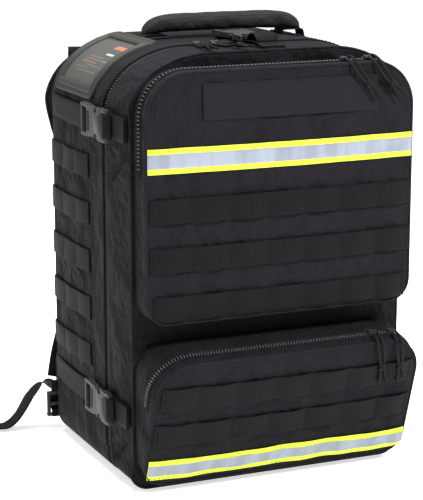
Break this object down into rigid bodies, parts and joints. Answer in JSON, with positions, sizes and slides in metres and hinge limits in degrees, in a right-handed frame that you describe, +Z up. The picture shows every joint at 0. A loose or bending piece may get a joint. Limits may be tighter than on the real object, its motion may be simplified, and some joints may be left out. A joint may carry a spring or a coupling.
{
  "type": "first responder backpack",
  "caption": "Black medical backpack with webbing rows, zipped front pockets, reflective tapes, grab handle and padded shoulder straps.",
  "frame": {"origin": "on the floor, under the rear shell, in the middle of the pack's width", "axes": "+Z up, the front with its pockets faces -Y, the back panel and straps face +Y, +X is the pack's right seen from the front"},
  "size_m": [0.4562, 0.3604, 0.4845],
  "materials": {
    "fabric_black": "coarse woven nylon",
    "webbing_black": "ribbed webbing",
    "mesh_pad": "spacer mesh over foam",
    "handle_grip": "padded smooth fabric",
    "loop_pile": "brushed loop pile",
    "plastic_black": "moulded acetal",
    "frame_plastic": "extruded sheet",
    "zipper": "coil zipper",
    "slider_metal": "black lacquered",
    "cord_black": "braided cord",
    "hi_vis": "fluorescent weave",
    "reflective": "retroreflective glass bead",
    "window_frame": "soft matt",
    "window_film": "clear vinyl",
    "card": "printed card"
  },
  "bodies": {
    "pack": {"main_shell": "fabric_black", "main_zip_rear": "zipper", "storm_flap": "fabric_black", "frame_sheet": "frame_plastic", "back_pads": "mesh_pad", "shoulder_yoke": "fabric_black", "ladder_locks": "plastic_black", "anchor_tabs": "fabric_black", "strap_tails": "webbing_black", "side_webbing": "webbing_black", "compression_straps": "webbing_black", "top_strap": "webbing_black", "id_window_frame": "window_frame", "id_window_film": "window_film", "handle_anchors": "webbing_black"},
    "front_door": {"door_shell": "fabric_black", "main_zip_front": "zipper", "side_buckle_sockets": "plastic_black", "side_stubs": "webbing_black", "buckle_socket_top": "plastic_black", "top_stub": "webbing_black", "pocket_a_box": "fabric_black", "pocket_a_webbing": "webbing_black", "pocket_b_box": "fabric_black", "pocket_b_webbing_lower": "webbing_black", "hi_vis_tape_lower": "hi_vis", "reflective_strip_lower": "reflective"},
    "lid_upper": {"pocket_a_lid": "fabric_black", "pocket_a_zip": "zipper", "loop_panel": "loop_pile", "hi_vis_tape_upper": "hi_vis", "reflective_strip_upper": "reflective"},
    "lid_lower": {"pocket_b_lid": "fabric_black", "pocket_b_zip": "zipper", "pocket_b_webbing_upper": "webbing_black"},
    "strap_left": {"shoulder_strap_left": "mesh_pad", "strap_webbing_left": "webbing_black"},
    "strap_right": {"shoulder_strap_right": "mesh_pad", "strap_webbing_right": "webbing_black"},
    "handle": {"grab_handle": "handle_grip"},
    "card": {"id_card": "card"},
    "plug_upper_left": {"buckle_plug_upper_left": "plastic_black"},
    "plug_upper_right": {"buckle_plug_upper_right": "plastic_black"},
    "plug_lower_left": {"buckle_plug_lower_left": "plastic_black"},
    "plug_lower_right": {"buckle_plug_lower_right": "plastic_black"},
    "plug_top": {"buckle_plug_top": "plastic_black"},
    "slider_a_left": {"slider_a_left": "slider_metal", "pull_cord_a_left": "cord_black"},
    "slider_a_right": {"slider_a_right": "slider_metal", "pull_cord_a_right": "cord_black"},
    "slider_b_left": {"slider_b_left": "slider_metal", "pull_cord_b_left": "cord_black"},
    "slider_b_right": {"slider_b_right": "slider_metal", "pull_cord_b_right": "cord_black"},
    "slider_main_left": {"slider_main_left": "slider_metal", "pull_cord_main_left": "cord_black"},
    "slider_main_right": {"slider_main_right": "slider_metal", "pull_cord_main_right": "cord_black"}
  },
  "joints": [
    {"name": "door_hinge", "type": "hinge", "parent": "pack", "child": "front_door", "pos_m": [0, -0.052, 0.002], "axis": [1, 0, 0], "range_deg": [0, 90]},
    {"name": "upper_lid_fold", "type": "hinge", "parent": "front_door", "child": "lid_upper", "pos_m": [0, -0.148, 0.3415], "axis": [1, 0, 0], "range_deg": [0, 100]},
    {"name": "lower_lid_fold", "type": "hinge", "parent": "front_door", "child": "lid_lower", "pos_m": [0, -0.16051, 0.09128], "axis": [1, 0, 0], "range_deg": [0, 90]},
    {"name": "strap_swing_left", "type": "hinge", "parent": "pack", "child": "strap_left", "pos_m": [-0.104, 0.119, 0.442], "axis": [1, 0, 0], "range_deg": [0, 8]},
    {"name": "strap_swing_right", "type": "hinge", "parent": "pack", "child": "strap_right", "pos_m": [0.104, 0.119, 0.442], "axis": [1, 0, 0], "range_deg": [0, 8]},
    {"name": "handle_fold", "type": "hinge", "parent": "pack", "child": "handle", "pos_m": [0.013, 0.04, 0.4653], "axis": [1, 0, 0], "range_deg": [-20, 0]},
    {"name": "card_slide", "type": "slide", "parent": "pack", "child": "card", "axis": [0, 1, 0], "range_m": [0, 0.1]},
    {"name": "plug_upper_left_release", "type": "slide", "parent": "pack", "child": "plug_upper_left", "axis": [0, 1, 0], "range_m": [0, 0.026]},
    {"name": "plug_upper_right_release", "type": "slide", "parent": "pack", "child": "plug_upper_right", "axis": [0, 1, 0], "range_m": [0, 0.026]},
    {"name": "plug_lower_left_release", "type": "slide", "parent": "pack", "child": "plug_lower_left", "axis": [0, 1, 0], "range_m": [0, 0.026]},
    {"name": "plug_lower_right_release", "type": "slide", "parent": "pack", "child": "plug_lower_right", "axis": [0, 1, 0], "range_m": [0, 0.026]},
    {"name": "plug_top_release", "type": "slide", "parent": "pack", "child": "plug_top", "axis": [0, 1, 0], "range_m": [0, 0.026]},
    {"name": "slider_a_left_run", "type": "slide", "parent": "lid_upper", "child": "slider_a_left", "axis": [-1, 0, 0], "range_m": [0, 0.17]},
    {"name": "slider_a_right_run", "type": "hinge", "parent": "lid_upper", "child": "slider_a_right", "pos_m": [0.105, -0.146, 0.398], "axis": [0, 1, 0], "range_deg": [0, 80]},
    {"name": "slider_b_left_run", "type": "slide", "parent": "lid_lower", "child": "slider_b_left", "axis": [-1, 0, 0], "range_m": [0, 0.19]},
    {"name": "slider_b_right_run", "type": "hinge", "parent": "lid_lower", "child": "slider_b_right", "pos_m": [0.112, -0.16435, 0.10999], "axis": [0, 0.9532, 0.3024], "range_deg": [0, 32]},
    {"name": "slider_main_left_run", "type": "slide", "parent": "front_door", "child": "slider_main_left", "axis": [-1, 0, 0], "range_m": [0, 0.035]},
    {"name": "slider_main_right_run", "type": "slide", "parent": "front_door", "child": "slider_main_right", "axis": [1, 0, 0], "range_m": [0, 0.01]}
  ]
}
